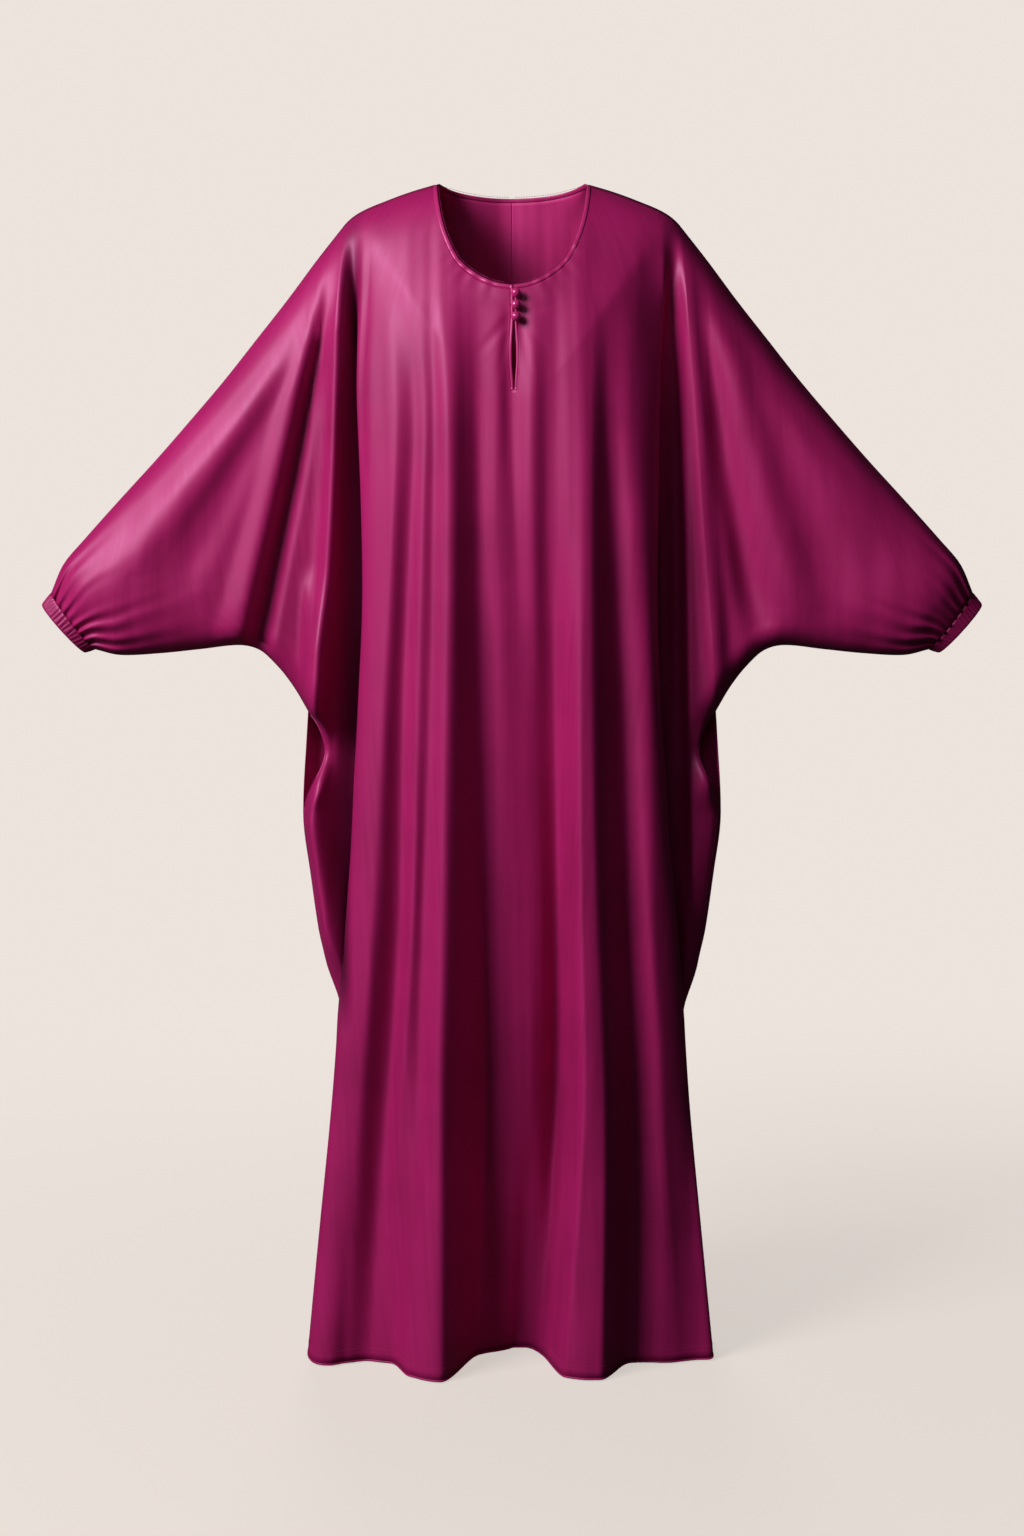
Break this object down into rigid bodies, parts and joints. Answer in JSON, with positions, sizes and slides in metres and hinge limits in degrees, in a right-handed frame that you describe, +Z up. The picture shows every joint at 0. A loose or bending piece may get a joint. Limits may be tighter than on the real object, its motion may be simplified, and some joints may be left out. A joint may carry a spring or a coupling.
{
  "type": "abaya",
  "caption": "Loose full-length batwing dress with gathered cuffs, a bound round neck and a buttoned keyhole slit, in worn form.",
  "frame": {"origin": "midway between the two neck points of the shoulder line, in the plane of the shoulder seams, where the wearer's shoulders carry it", "axes": "+X towards the wearer's left, +Z up along the body, the front faces -Y"},
  "size_m": [1.145, 0.2249, 1.4462],
  "materials": {
    "satin": "heavy matt-backed satin, soft sheen",
    "binding": "bias-cut satin strip",
    "cuff": "shirred satin over elastic",
    "button": "glossy ball"
  },
  "bodies": {
    "root": {"front_panel": "satin", "back_left": "satin", "back_right": "satin", "neck_binding": "binding", "slit_binding_left": "binding", "slit_binding_right": "binding", "button_1": "button", "button_2": "button", "button_3": "button", "loop_1": "binding", "loop_2": "binding", "loop_3": "binding", "cuff_left": "cuff", "cuff_right": "cuff"}
  },
  "joints": []
}
